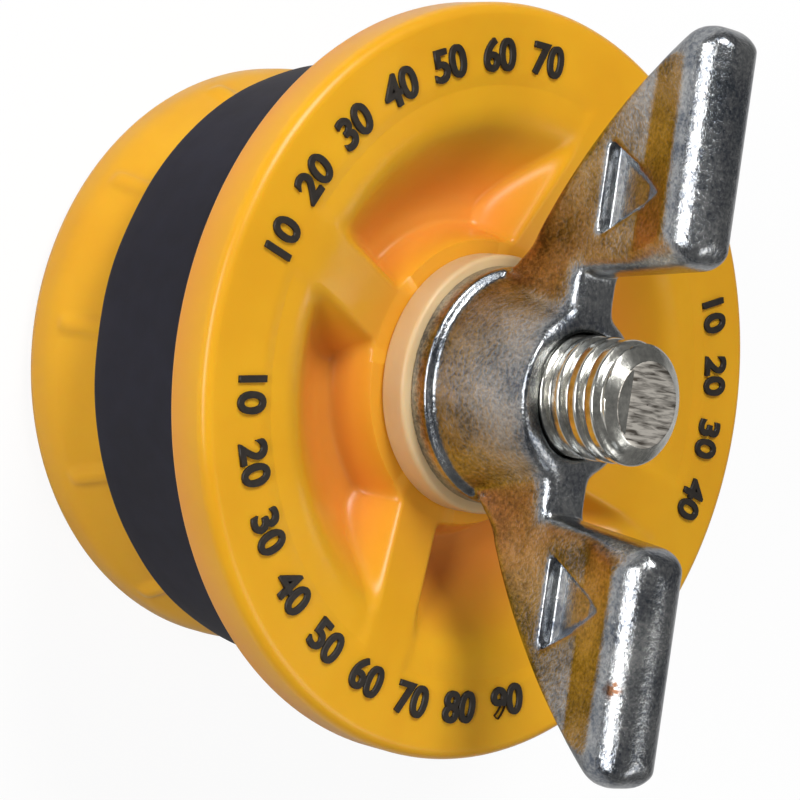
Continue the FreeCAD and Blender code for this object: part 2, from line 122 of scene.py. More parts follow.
def turned(name, section, sides=SIDES):
    """A closed ring or disc drawn out of one circle, step by step round its section."""
    clear_selection()
    first_r, first_z = section[0]
    bpy.ops.mesh.primitive_circle_add(vertices=sides, radius=first_r, location=(0, 0, first_z))
    piece = bpy.context.active_object
    bpy.ops.object.mode_set(mode="EDIT")
    bpy.ops.mesh.select_all(action="SELECT")
    before_r, before_z = first_r, first_z
    for radius, height in section[1:] + section[:1]:
        bpy.ops.mesh.extrude_region_move(TRANSFORM_OT_translate={"value": (0, 0, height - before_z)})
        growth = radius / before_r
        bpy.ops.transform.resize(value=(growth, growth, 1), center_override=(0, 0, height))
        before_r, before_z = radius, height
    close_up()
    return settle(piece, name)


def smooth(piece, angle):
    """Shade the piece smooth, with edges sharper than the angle left crisp."""
    work_on(piece)
    bpy.ops.object.shade_smooth_by_angle(angle=math.radians(angle))


def eased(value):
    """Smooth step from 0 to 1."""
    value = max(0.0, min(1.0, value))
    return value * value * (3 - 2 * value)


def spread(points, steps):
    """Extra points evenly along each straight run of a section."""
    filled = []
    for start, stop in zip(points[:-1], points[1:]):
        for step in range(steps):
            share = step / steps
            filled.append((start[0] + (stop[0] - start[0]) * share, start[1] + (stop[1] - start[1]) * share))
    return filled + [points[-1]]


# Materials


def linear(hex_colour):
    """A linear RGBA colour from an sRGB hex value."""
    channels = [int(hex_colour[i:i + 2], 16) / 255 for i in (1, 3, 5)]
    return [c / 12.92 if c <= 0.04045 else ((c + 0.055) / 1.055) ** 2.4 for c in channels] + [1.0]


def add(tree, kind, links=None, **settings):
    """Add one node, with its settings, and its inputs by name from values or other nodes' outputs."""
    new = tree.nodes.new(kind)
    for name, value in settings.items():
        setattr(new, name, value)
    for name, source in (links or {}).items():
        socket = new.inputs[name]
        if isinstance(source, bpy.types.NodeSocket):
            tree.links.new(source, socket)
        else:
            socket.default_value = source
    return new


def material(name, **surface):
    """A new material and its surface shader."""
    new = bpy.data.materials.new(name)
    new.use_nodes = True
    tree = new.node_tree
    shader = tree.nodes["Principled BSDF"]
    for socket, value in surface.items():
        shader.inputs[socket.replace("_", " ")].default_value = value
    return new, tree, shader


def ramp(tree, factor, stops):
    """A colour ramp through (place, colour) stops."""
    new = add(tree, "ShaderNodeValToRGB", {"Fac": factor})
    elements = new.color_ramp.elements
    while len(elements) < len(stops):
        elements.new(0.5)
    for element, (spot, colour) in zip(elements, stops):
        element.position = spot
        element.color = colour
    return new


def moulded_nylon(name, shade_hollows):
    """Injection-moulded yellow nylon: even amber with faint flow clouds, satin gloss, a light glow under the skin."""
    new, tree, shader = material(name, Roughness=0.3, IOR=1.53)
    shader.inputs["Specular IOR Level"].default_value = 0.3
    coords = add(tree, "ShaderNodeTexCoord")
    # Flow clouds about 8 mm across.
    flow = add(tree, "ShaderNodeTexNoise", {"Vector": coords.outputs["Object"], "Scale": 125.0, "Detail": 3.0})
    colour = ramp(tree, flow.outputs["Fac"], [(0.3, linear("#DE9F1C")), (0.7, linear("#E6AA20"))])
    tree.links.new(colour.outputs["Color"], shader.inputs["Base Color"])
    if shade_hollows:
        # Painted shade: the lower the face sinks into the hollows, the deeper the orange painted on it.
        where = add(tree, "ShaderNodeSeparateXYZ", {"Vector": coords.outputs["Object"]})
        deep = add(tree, "ShaderNodeMapRange", {
            "Value": where.outputs["Z"], "From Min": RIM_TOP - 0.6 * MM, "From Max": RIM_TOP - 4.4 * MM,
        })
        hollow_shade = add(tree, "ShaderNodeMix", {"B": linear("#E29137")}, data_type="RGBA")
        tree.links.new(deep.outputs["Result"], hollow_shade.inputs["Factor"])
        tree.links.new(colour.outputs["Color"], hollow_shade.inputs["A"])
        tree.links.new(hollow_shade.outputs["Result"], shader.inputs["Base Color"])
    shader.inputs["Subsurface Weight"].default_value = 0.2
    shader.inputs["Subsurface Radius"].default_value = (1.0, 0.35, 0.08)
    shader.inputs["Subsurface Scale"].default_value = 0.0012
    # Slight sink and flow marks 2 mm across, and a moulded grain of about 0.3 mm.
    sink = add(tree, "ShaderNodeTexNoise", {"Vector": coords.outputs["Object"], "Scale": 420.0, "Detail": 1.5})
    dent = add(tree, "ShaderNodeBump", {"Height": sink.outputs["Fac"], "Strength": 0.25, "Distance": 0.00012})
    skin = add(tree, "ShaderNodeTexNoise", {"Vector": coords.outputs["Object"], "Scale": 3200.0, "Detail": 2.0})
    bump = add(tree, "ShaderNodeBump", {
        "Height": skin.outputs["Fac"], "Strength": 0.2, "Distance": 0.00002, "Normal": dent.outputs["Normal"],
    })
    tree.links.new(bump.outputs["Normal"], shader.inputs["Normal"])
    return new


def black_rubber():
    """Moulded black rubber: matt blue-black with a fine dusty grain and faint flow marks round the band."""
    new, tree, shader = material("moulded_black_rubber", Roughness=0.58, IOR=1.52)
    shader.inputs["Specular IOR Level"].default_value = 0.28
    coords = add(tree, "ShaderNodeTexCoord")
    dust = add(tree, "ShaderNodeTexNoise", {"Vector": coords.outputs["Object"], "Scale": 700.0, "Detail": 5.0})
    cloud = add(tree, "ShaderNodeTexNoise", {"Vector": coords.outputs["Object"], "Scale": 110.0, "Detail": 2.0})
    mixed = add(tree, "ShaderNodeMath", {0: dust.outputs["Fac"], 1: cloud.outputs["Fac"]}, operation="ADD")
    half = add(tree, "ShaderNodeMath", {0: mixed.outputs[0], 1: 0.5}, operation="MULTIPLY")
    colour = ramp(tree, half.outputs[0], [(0.35, linear("#11111D")), (0.65, linear("#1A1A28"))])
    tree.links.new(colour.outputs["Color"], shader.inputs["Base Color"])
    bump = add(tree, "ShaderNodeBump", {"Height": dust.outputs["Fac"], "Strength": 0.3, "Distance": 0.00006})
    tree.links.new(bump.outputs["Normal"], shader.inputs["Normal"])
    return new


def natural_nylon():
    """Turned natural nylon: waxy cream, slightly see-through at the skin, with fine turning rings on its edge."""
    new, tree, shader = material("natural_nylon", Roughness=0.42, IOR=1.53)
    coords = add(tree, "ShaderNodeTexCoord")
    cloud = add(tree, "ShaderNodeTexNoise", {"Vector": coords.outputs["Object"], "Scale": 200.0, "Detail": 3.0})
    colour = ramp(tree, cloud.outputs["Fac"], [(0.3, linear("#CFAF80")), (0.7, linear("#DABF93"))])
    tree.links.new(colour.outputs["Color"], shader.inputs["Base Color"])
    shader.inputs["Subsurface Weight"].default_value = 0.4
    shader.inputs["Subsurface Radius"].default_value = (1.0, 0.6, 0.3)
    shader.inputs["Subsurface Scale"].default_value = 0.0012
    # Turning rings 0.4 mm apart up the edge.
    spacing = add(tree, "ShaderNodeMapping", {"Vector": coords.outputs["Object"], "Scale": (0.0, 0.0, 2500.0)})
    rings = add(tree, "ShaderNodeTexNoise", {"Vector": spacing.outputs["Vector"], "Scale": 1.0, "Detail": 1.0})
    bump = add(tree, "ShaderNodeBump", {"Height": rings.outputs["Fac"], "Strength": 0.3, "Distance": 0.00004})
    tree.links.new(bump.outputs["Normal"], shader.inputs["Normal"])
    return new


def zinc_plate(name, grain_mm, depth_mm, roughness, dark, bright):
    """Bright zinc plate: cool grey, clouded, with glints painted into its colour as a speckle, over a skin whose pits
    break its reflections into sparkle.
    """
    new, tree, shader = material(name, Metallic=1.0)
    coords = add(tree, "ShaderNodeTexCoord")
    # Clouds of thicker and thinner plate about 3 mm across.
    cloud = add(tree, "ShaderNodeTexNoise", {"Vector": coords.outputs["Object"], "Scale": 330.0, "Detail": 5.0})
    # Painted glints: a dark and bright speckle of the pits' grain size in the colour, for the sparkle of light on the
    # pits.
    painted_glints = add(tree, "ShaderNodeTexNoise", {
        "Vector": coords.outputs["Object"], "Scale": 1000.0 / grain_mm, "Detail": 3.0, "Roughness": 0.7,
    })
    tone = add(tree, "ShaderNodeMath", {0: cloud.outputs["Fac"], 1: painted_glints.outputs["Fac"]}, operation="ADD")
    half = add(tree, "ShaderNodeMath", {0: tone.outputs[0], 1: 0.5}, operation="MULTIPLY")
    colour = ramp(tree, half.outputs[0], [(0.38, linear(dark)), (0.62, linear(bright))])
    wear = add(tree, "ShaderNodeMapRange", {
        "Value": cloud.outputs["Fac"], "From Min": 0.3, "From Max": 0.7,
        "To Min": roughness - 0.05, "To Max": roughness + 0.1,
    })
    tree.links.new(wear.outputs["Result"], shader.inputs["Roughness"])
    swell = add(tree, "ShaderNodeTexNoise", {"Vector": coords.outputs["Object"], "Scale": 900.0, "Detail": 2.0})
    wavy = add(tree, "ShaderNodeBump", {"Height": swell.outputs["Fac"], "Strength": 0.5, "Distance": 0.00006})
    pits = add(tree, "ShaderNodeTexNoise", {
        "Vector": coords.outputs["Object"], "Scale": 1000.0 / grain_mm, "Detail": 4.0, "Roughness": 0.65,
    })
    bump = add(tree, "ShaderNodeBump", {
        "Height": pits.outputs["Fac"], "Strength": 1.0, "Distance": depth_mm * MM, "Normal": wavy.outputs["Normal"],
    })
    tree.links.new(bump.outputs["Normal"], shader.inputs["Normal"])
    return new, tree, shader, coords, colour


def zinc_forging():
    """Zinc plate over a drop-forged skin, with a bloom of rust on one wing's grip where the plate is rubbed through."""
    new, tree, shader, coords, colour = zinc_plate(
        "zinc_plated_forging", 0.24, 0.035, 0.17, "#666D78", "#C4C5C4"
    )
    bloom = add(tree, "ShaderNodeMapping", {
        "Vector": coords.outputs["Object"], "Location": (-RUST_SPOT[0], -RUST_SPOT[1], -RUST_SPOT[2]),
    })
    away = add(tree, "ShaderNodeVectorMath", {0: bloom.outputs["Vector"]}, operation="LENGTH")
    ragged = add(tree, "ShaderNodeTexNoise", {"Vector": coords.outputs["Object"], "Scale": 2600.0, "Detail": 4.0})
    near = add(tree, "ShaderNodeMapRange", {
        "Value": away.outputs["Value"], "From Min": 0.0002, "From Max": 0.0011, "To Min": 1.0, "To Max": 0.0,
    })
    broken = add(tree, "ShaderNodeMath", {0: near.outputs["Result"], 1: ragged.outputs["Fac"]}, operation="MULTIPLY")
    rust = add(tree, "ShaderNodeMapRange", {"Value": broken.outputs[0], "From Min": 0.22, "From Max": 0.4})
    coat = add(tree, "ShaderNodeMix", data_type="RGBA")
    tree.links.new(rust.outputs["Result"], coat.inputs["Factor"])
    tree.links.new(colour.outputs["Color"], coat.inputs["A"])
    coat.inputs["B"].default_value = linear("#6B4A34")
    tree.links.new(coat.outputs["Result"], shader.inputs["Base Color"])
    return new


def zinc_bolt():
    """Zinc plate over a rolled thread, and a bare ground end with slanted grinding lines."""
    new, tree, shader, coords, colour = zinc_plate(
        "zinc_plated_steel", 0.4, 0.006, 0.2, "#ABABA5", "#E6E4DB"
    )
    # Grinding lines about 0.2 mm apart across the end face, coarser than real ones so that they show.
    turned_lines = add(tree, "ShaderNodeMapping", {
        "Vector": coords.outputs["Object"], "Rotation": (0.0, 0.0, math.radians(-64)), "Scale": (4600.0, 620.0, 1.0),
    })
    lines = add(tree, "ShaderNodeTexNoise", {
        "Vector": turned_lines.outputs["Vector"], "Scale": 1.0, "Detail": 3.0, "Distortion": 0.5,
    })
    ground = ramp(tree, lines.outputs["Fac"], [(0.34, linear("#6A645C")), (0.6, linear("#ECE6DC"))])
    where = add(tree, "ShaderNodeSeparateXYZ", {"Vector": coords.outputs["Object"]})
    at_end = add(tree, "ShaderNodeMath", {0: where.outputs["Z"], 1: BOLT_END - 0.03 * MM}, operation="GREATER_THAN")
    coat = add(tree, "ShaderNodeMix", data_type="RGBA")
    tree.links.new(at_end.outputs[0], coat.inputs["Factor"])
    tree.links.new(colour.outputs["Color"], coat.inputs["A"])
    tree.links.new(ground.outputs["Color"], coat.inputs["B"])
    tree.links.new(coat.outputs["Result"], shader.inputs["Base Color"])
    matt = add(tree, "ShaderNodeMapRange", {
        "Value": at_end.outputs[0], "To Min": 0.22, "To Max": 0.55,
    })
    tree.links.new(matt.outputs["Result"], shader.inputs["Roughness"])
    return new


def black_marking():
    """Black hot-foil on the raised figures: nearly matt, a little broken at its edges."""
    new, tree, shader = material("black_marking_foil", Roughness=0.5, IOR=1.5)
    coords = add(tree, "ShaderNodeTexCoord")
    worn = add(tree, "ShaderNodeTexNoise", {"Vector": coords.outputs["Object"], "Scale": 2500.0, "Detail": 3.0})
    colour = ramp(tree, worn.outputs["Fac"], [(0.3, linear("#1C1712")), (0.75, linear("#2C241B"))])
    tree.links.new(colour.outputs["Color"], shader.inputs["Base Color"])
    return new


RUST_SPOT = (17.0 * MM, -2.0 * MM, WASHER_HIGH + 15.0 * MM)
NYLON = moulded_nylon("moulded_yellow_nylon", False)
# The front plate's nylon, with painted shade deepening its orange in the hollows.
NYLON_WITH_HOLLOW_SHADE = moulded_nylon("moulded_yellow_nylon_hollow_shade", True)
RUBBER = black_rubber()
NATURAL = natural_nylon()
ZINC_NUT = zinc_forging()
ZINC_BOLT = zinc_bolt()
MARKING = black_marking()


def finish(piece, coat, body, node):
    """Give a finished piece its material and its body, and hide the CAD node that it stands for, if it has one."""
    piece.data.materials.clear()
    piece.data.materials.append(coat)
    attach(piece, body)
    if node:
        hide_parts(node)


# Front plate: flange, dish round the washer's hub, four webs across it, and a spigot in the rubber.
BOLT_HOLE = 4.2 * MM
SPIGOT_RADIUS = 15.2 * MM
SPIGOT_ROUND = 0.8 * MM
DISH_RADIUS = FRONT_RADIUS - 6.3 * MM
DISH_FLOOR = RIM_TOP - 4.9 * MM
DISH_LIP = 1.2 * MM
FLANGE_FRONT_ROUND = 0.8 * MM
FLANGE_REAR_ROUND = 0.3 * MM
FACE_ROWS = 64
HUB_TOP = 9.25 * MM
HUB_FOOT = 10.0 * MM
FLOOR_OUTER = 10.9 * MM
WEBS = 4
WEB_TURN = math.radians(69)
WEB_HALF = 1.9 * MM
WEB_INNER_FOOT = 3.6 * MM
WEB_OUTER_FOOT = 4.2 * MM
FLANK_DROP = 3.8 * MM
HUB_STEEPNESS = 5.0
# How wide the hollows blend into their neighbours.
FLANK_BLEND = 1.3 * MM
HUB_BLEND = 2.6 * MM
FACE_BLEND = 0.6 * MM
LAND_BLEND = 0.5 * MM


def softer_of(first, second, blend):
    """The higher of two heights, with a round hollow of about the blend's size where they meet."""
    apart = max(0.0, blend - abs(first - second)) / blend
    return max(first, second) + apart * apart * blend / 4


def face_height(radius):
    """The moulded face before its hollows: flat flange, then a shallow fall to the washer's land."""
    outward = (radius - HUB_TOP) / (DISH_RADIUS - HUB_TOP)
    fall = WASHER_LOW + (RIM_TOP - WASHER_LOW) * outward
    return -softer_of(-max(fall, WASHER_LOW), -RIM_TOP, LAND_BLEND)


def hollow_depth(radius, turn):
    """How far a hollow sinks below the face: its round wall, the webs' flanks and the hub's side limit it."""
    outward = max(0.0, min(1.0, (radius - HUB_FOOT) / (DISH_RADIUS - HUB_FOOT)))
    foot = WEB_INNER_FOOT + (WEB_OUTER_FOOT - WEB_INNER_FOOT) * outward
    deep = RIM_TOP - DISH_FLOOR
    share = (DISH_RADIUS - radius) / (DISH_RADIUS - FLOOR_OUTER)
    wall = deep * eased(share) ** 0.9 - (RIM_TOP - face_height(radius))
    flank = (radius * math.sin(turn) - WEB_HALF) * FLANK_DROP / (foot - WEB_HALF)
    hub = (radius - HUB_TOP) * HUB_STEEPNESS
    depth = -softer_of(-wall, -flank, FLANK_BLEND)
    depth = -softer_of(-depth, -hub, HUB_BLEND)
    return softer_of(0.0, depth, FACE_BLEND)


def make_front_plate():
    """Flange, spigot and a flat face of fine rows, which is then sunk into the dish with its webs."""
    rim, rear = FLANGE_FRONT_ROUND, FLANGE_REAR_ROUND
    flat_from = FRONT_RADIUS - 1.15 * MM
    face_out = DISH_RADIUS + DISH_LIP
    face_in = HUB_TOP - 0.1 * MM
    section = (
        [(BOLT_HOLE, SPIGOT_END)]
        + arc(SPIGOT_RADIUS - SPIGOT_ROUND, SPIGOT_END + SPIGOT_ROUND, SPIGOT_ROUND, -90, 0)
        + [(SPIGOT_RADIUS, RING_HIGH)]
        + arc(FRONT_RADIUS - rear, RING_HIGH + rear, rear, -90, 0, 4)
        + arc(FRONT_RADIUS - rim, RIM_TOP - rim, rim, 0, 90, 10)
        + spread([(flat_from, RIM_TOP), (face_out, RIM_TOP)], 8)[:-1]
        + spread([(face_out, RIM_TOP), (face_in, RIM_TOP)], FACE_ROWS)
        + [(BOLT_HOLE, WASHER_LOW)]
    )
    plate = turned("front_plate_moulding", section, FINE_SIDES)
    for vertex in plate.data.vertices:
        x, y, z = vertex.co
        radius = math.hypot(x, y)
        if z < RIM_TOP - NEAR or radius > face_out + NEAR:
            continue
        turn = (math.atan2(y, x) - WEB_TURN) % (2 * math.pi / WEBS)
        turn = min(turn, 2 * math.pi / WEBS - turn)
        vertex.co.z = face_height(radius) - hollow_depth(radius, turn)
    smooth(plate, 60)
    # The plate takes the nylon with painted shade in its hollows.
    finish(plate, NYLON_WITH_HOLLOW_SHADE, "front", "front_plate")


# Plain numbers, raised on the flange as on a dial: (first azimuth, step, count, tops outward).
NUMBER_RUNS = ((252.0, -12.0, 7, True), (277.0, 12.0, 9, False), (110.0, -12.0, 4, True))
NUMBER_RADIUS = 20.75 * MM
NUMBER_SIZE = 2.8 * MM
NUMBER_STAND = 0.22 * MM
NUMBER_BOLDNESS = 0.07 * MM


def make_dial_numbers():
    """One mesh of all the numbers, each turned to its place round the flange."""
    figures = []
    for first, step, count, outward in NUMBER_RUNS:
        for index in range(count):
            azimuth = math.radians(first + step * index)
            lean = azimuth + math.radians(-90 if outward else 90)
            spot = (NUMBER_RADIUS * math.cos(azimuth), NUMBER_RADIUS * math.sin(azimuth), RIM_TOP)
            clear_selection()
            bpy.ops.object.text_add(location=spot, rotation=(0, 0, lean))
            figure = bpy.context.active_object
            figure.data.body = str(10 * (index + 1))
            figure.data.size = NUMBER_SIZE
            figure.data.align_x = "CENTER"
            figure.data.align_y = "CENTER"
            figure.data.extrude = NUMBER_STAND
            figure.data.offset = NUMBER_BOLDNESS
            figure.data.resolution_u = 5
            bpy.ops.object.convert(target="MESH")
            figures.append(settle(figure, "figure"))
    work_on(figures[0])
    for figure in figures[1:]:
        figure.select_set(True)
    bpy.ops.object.join()
    numbers = settle(figures[0], "dial_numbers")
    bpy.ops.object.mode_set(mode="EDIT")
    close_up()
    bpy.ops.object.mode_set(mode="OBJECT")
    finish(numbers, MARKING, "front", None)


# Back plate: rounded rim, cone with low ribs, spigot, and the recess for the bolt's head.
BACK_RIM = 3.4 * MM
BACK_REAR_ROUND = 1.9 * MM
BACK_SHOULDER_ROUND = 3.2 * MM
RECESS_EDGE = 0.4 * MM
AXIS_GAP = 0.2 * MM
CONE_TOP = BACK_RADIUS - 2.4 * MM
RIBS = 12
RIB_HALF = 0.45 * MM
RIB_STAND = 0.42 * MM
RIB_RISE = 1.2 * MM
HEAD_SEAT = 5.2 * MM
HEAD_RECESS = HEAD_RADIUS + 0.9 * MM


def make_back_plate():
    """Rim, cone and spigot in one turned section, with the ribs then raised out of the cone."""
    rear = BACK_REAR_ROUND
    lean = math.degrees(math.atan2(BACK_RADIUS - CONE_TOP, RING_LOW - BACK_RIM))
    swell = BACK_SHOULDER_ROUND
    bend = swell * math.tan(math.radians(lean / 2))
    shoulder = arc(BACK_RADIUS - swell, BACK_RIM - bend, swell, 0, lean, 10)
    cone = spread([shoulder[-1], (CONE_TOP, RING_LOW)], 14)
    section = (
        [(AXIS_GAP, HEAD_SEAT), (HEAD_RECESS, HEAD_SEAT), (HEAD_RECESS, RECESS_EDGE), (HEAD_RECESS + RECESS_EDGE, 0)]
        + arc(BACK_RADIUS - rear, rear, rear, -90, 0, 12)[:-1]
        + shoulder[:-1]
        + cone
        + [(SPIGOT_RADIUS, RING_LOW)]
        + arc(SPIGOT_RADIUS - SPIGOT_ROUND, BACK_TOP - SPIGOT_ROUND, SPIGOT_ROUND, 0, 90)
        + [(AXIS_GAP, BACK_TOP)]
    )
    plate = turned("back_plate_moulding", section, FINE_SIDES)
    for vertex in plate.data.vertices:
        x, y, z = vertex.co
        radius = math.hypot(x, y)
        if not (BACK_RIM - bend < z < RING_LOW + NEAR) or radius < CONE_TOP - 0.1 * MM:
            continue
        turn = math.atan2(y, x) % (2 * math.pi / RIBS)
        beside = min(turn, 2 * math.pi / RIBS - turn) * radius
        rise = eased((z - BACK_RIM) / RIB_RISE)
        lift = RIB_STAND * rise * eased((RIB_HALF * 1.9 - beside) / (RIB_HALF * 1.5))
        vertex.co.x += x / radius * lift
        vertex.co.y += y / radius * lift
    smooth(plate, 60)
    finish(plate, NYLON, "bolt_and_back", "back_plate")


RING_BORE = 15.5 * MM
RING_EDGE = 0.45 * MM
RING_WAVE = 0.05 * MM
RING_WAVE_RISE = 0.07 * MM
RING_WAVE_WIDTH = 2.0 * MM


def make_sealing_ring():
    """A moulded band whose rear edge runs very slightly in and out, as a soft ring's does."""
    edge = RING_EDGE
    section = (
        [(RING_BORE, RING_LOW)]
        + arc(RING_RADIUS - edge, RING_LOW + edge, edge, -90, 0, 6)
        + spread([(RING_RADIUS, RING_LOW + edge), (RING_RADIUS, RING_HIGH - edge)], 10)[1:-1]
        + arc(RING_RADIUS - edge, RING_HIGH - edge, edge, 0, 90, 6)
        + [(RING_BORE, RING_HIGH)]
    )
    ring = turned("rubber_ring", section, RING_SIDES)
    for vertex in ring.data.vertices:
        x, y, z = vertex.co
        radius = math.hypot(x, y)
        if radius < RING_RADIUS - 0.6 * MM:
            continue
        turn = math.atan2(y, x)
        wave = math.sin(turn * 5 + 0.6) + 0.6 * math.sin(turn * 11 + 2.0) + 0.4 * math.sin(turn * 17)
        low = max(0.0, 1 - (z - RING_LOW) / RING_WAVE_WIDTH)
        vertex.co.x += x / radius * wave * low * RING_WAVE
        vertex.co.y += y / radius * wave * low * RING_WAVE
        vertex.co.z += max(0.0, wave) * low * RING_WAVE_RISE
    smooth(ring, 60)
    finish(ring, RUBBER, "bolt_and_back", "sealing_ring")
    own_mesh(ring)


WASHER_EDGE = 0.3 * MM


def make_washer():
    """A turned disc with its edges broken round."""
    edge = WASHER_EDGE
    section = (
        [(BOLT_HOLE, WASHER_LOW)]
        + arc(WASHER_RADIUS - edge, WASHER_LOW + edge, edge, -90, 0, 4)
        + arc(WASHER_RADIUS - edge, WASHER_HIGH - edge, edge, 0, 90, 4)
        + [(BOLT_HOLE, WASHER_HIGH)]
    )
    washer = turned("nylon_washer", section)
    smooth(washer, 50)
    finish(washer, NATURAL, "front", "thrust_washer")


# Wing nut: collar, barrel, and two wings with round grips and a notch in each face.
NUT_SEAT = WASHER_HIGH
COLLAR_RADIUS = 7.6 * MM
COLLAR_TOP = NUT_SEAT + 1.3 * MM
COLLAR_EDGE = 0.25 * MM
COLLAR_FROM = 7.25 * MM
NOTCH_FOOT = NUT_SEAT + 8.4 * MM
NOTCH_TIP = NUT_SEAT + 13.2 * MM
NOTCH_INNER = 9.9 * MM
NOTCH_OUTER = 15.6 * MM
NOTCH_MIDDLE = 12.6 * MM
NOTCH_DEEP = 1.15 * MM
NOTCH_SHALLOW = 0.5 * MM
NOTCH_EDGE = 0.45 * MM
GRIP_BLEND_FOOT = NUT_SEAT + 11.35 * MM
GRIP_MIDDLE = NUT_SEAT + 13.95 * MM
WING_SLIMMEST = 1.8 * MM
WING_ROOT_EXTRA = 0.4 * MM
WING_GRIP_EXTRA = 0.75 * MM
WING_FALL = 11.0 * MM
FORGING_VOXEL = 0.165 * MM
FORGING_RELAX = 6
CORNER_RELAX = 90


def wing_face(height):
    """Half the wing's thickness at a height: slimmest under the grip, thicker towards the root and the grip."""
    if height > GRIP_BLEND_FOOT:
        return WING_SLIMMEST + WING_GRIP_EXTRA * (height - GRIP_BLEND_FOOT) / (GRIP_MIDDLE - GRIP_BLEND_FOOT)
    return WING_SLIMMEST + WING_ROOT_EXTRA * (GRIP_BLEND_FOOT - height) / WING_FALL


def notch_depth(across, height):
    """Depth of the forged three-sided notch in a wing's face: a ledge at its foot and a facet that rises to its tip."""
    up = (height - NOTCH_FOOT) / (NOTCH_TIP - NOTCH_FOOT)
    inner = NOTCH_INNER + (NOTCH_MIDDLE - NOTCH_INNER) * up
    outer = NOTCH_OUTER + (NOTCH_MIDDLE - NOTCH_OUTER) * up
    inside = min(height - NOTCH_FOOT, (across - inner) * 0.85, (outer - across) * 0.85)
    deep = NOTCH_DEEP + (NOTCH_SHALLOW - NOTCH_DEEP) * up
    return deep * eased(inside / NOTCH_EDGE)


def make_wing_nut():
    """The nut's own CAD form, remeshed and relaxed as a forging is, with its notches and collar drawn crisp."""
    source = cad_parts["wing_nut"]
    nut = source.copy()
    nut.data = source.data.copy()
    bpy.context.scene.collection.objects.link(nut)
    for key in list(nut.keys()):
        del nut[key]
    nut.hide_render = False
    nut.parent = None
    work_on(nut)
    bpy.ops.object.mode_set(mode="EDIT")
    bpy.ops.mesh.select_all(action="SELECT")
    bpy.ops.mesh.remove_doubles(threshold=MERGE)
    bpy.ops.object.mode_set(mode="OBJECT")
    remesh = nut.modifiers.new("remesh", "REMESH")
    remesh.mode = "VOXEL"
    remesh.voxel_size = FORGING_VOXEL
    bpy.ops.object.modifier_apply(modifier=remesh.name)
    relax = nut.modifiers.new("relax", "SMOOTH")
    relax.factor = 0.5
    relax.iterations = FORGING_RELAX
    bpy.ops.object.modifier_apply(modifier=relax.name)
    # The web between barrel and wing flows into both, so the corners there are relaxed much further.
    corners = nut.vertex_groups.new(name="web_corners")
    for vertex in nut.data.vertices:
        x, y, z = vertex.co
        radius = math.hypot(x, y)
        beside = eased((abs(y) - 1.2 * MM) / (0.8 * MM)) * eased((4.6 * MM - abs(y)) / (0.8 * MM))
        near_barrel = eased((abs(x) - 2.6 * MM) / (1.0 * MM)) * eased((9.9 * MM - abs(x)) / (1.0 * MM))
        above = eased((z - NUT_SEAT - 2.0 * MM) / (1.5 * MM))
        outside_bore = eased((radius - 4.5 * MM) / (0.4 * MM))
        corners.add([vertex.index], beside * near_barrel * above * outside_bore, "REPLACE")
    flow = nut.modifiers.new("flow", "SMOOTH")
    flow.factor = 0.5
    flow.iterations = CORNER_RELAX
    flow.vertex_group = corners.name
    bpy.ops.object.modifier_apply(modifier=flow.name)
    for vertex in nut.data.vertices:
        x, y, z = vertex.co
        radius = math.hypot(x, y)
        if z < COLLAR_TOP and radius > COLLAR_FROM:
            edge = max(0.0, z - (COLLAR_TOP - COLLAR_EDGE)) / COLLAR_EDGE
            scale = (COLLAR_RADIUS - COLLAR_EDGE * (1 - math.sqrt(max(0.0, 1 - edge * edge)))) / radius
            vertex.co.x = x * scale
            vertex.co.y = y * scale
        depth = notch_depth(abs(x), z)
        if depth > 0 and abs(y) > 0.3 * MM:
            face = wing_face(z) - depth
            if abs(y) > face:
                vertex.co.y = math.copysign(face, y)
    settle(nut, "wing_nut_forging")
    bpy.ops.object.shade_smooth()
    finish(nut, ZINC_NUT, "nut", "wing_nut")


# Carriage bolt: 18 threads to the inch, a ground end, a square neck and a domed head.
PITCH = 25.4 / 18 * MM
CREST = 3.9 * MM
ROOT = 3.3 * MM
END_CHAMFER = 0.8 * MM
END_RADIUS = 2.6 * MM
END_BLEND = 0.25 * MM
END_LIFT = 0.02 * MM
THREAD_LOW = WASHER_LOW - 1.0 * MM
THREAD_ROW = 0.085 * MM
NECK_WIDTH = 8.0 * MM
NECK_HEIGHT = 4.8 * MM
NECK_EDGE = 0.4 * MM
HEAD_EDGE = 0.8 * MM


def thread_radius(turn, height):
    """Radius of the right-hand thread at a turn (radians) and a height: round crests, rounder roots."""
    share = (height - turn / (2 * math.pi) * PITCH) / PITCH % 1.0
    wave = 0.5 - 0.5 * math.cos(2 * math.pi * share)
    crest = eased(wave ** 0.6 * 1.1)
    start = eased((height - THREAD_LOW) / PITCH)
    radius = CREST - (CREST - ROOT) * (1 - crest) * start
    chamfer = CREST - max(0.0, height - (BOLT_END - END_CHAMFER)) / END_CHAMFER * (CREST - END_RADIUS)
    return -softer_of(-radius, -chamfer, END_BLEND)


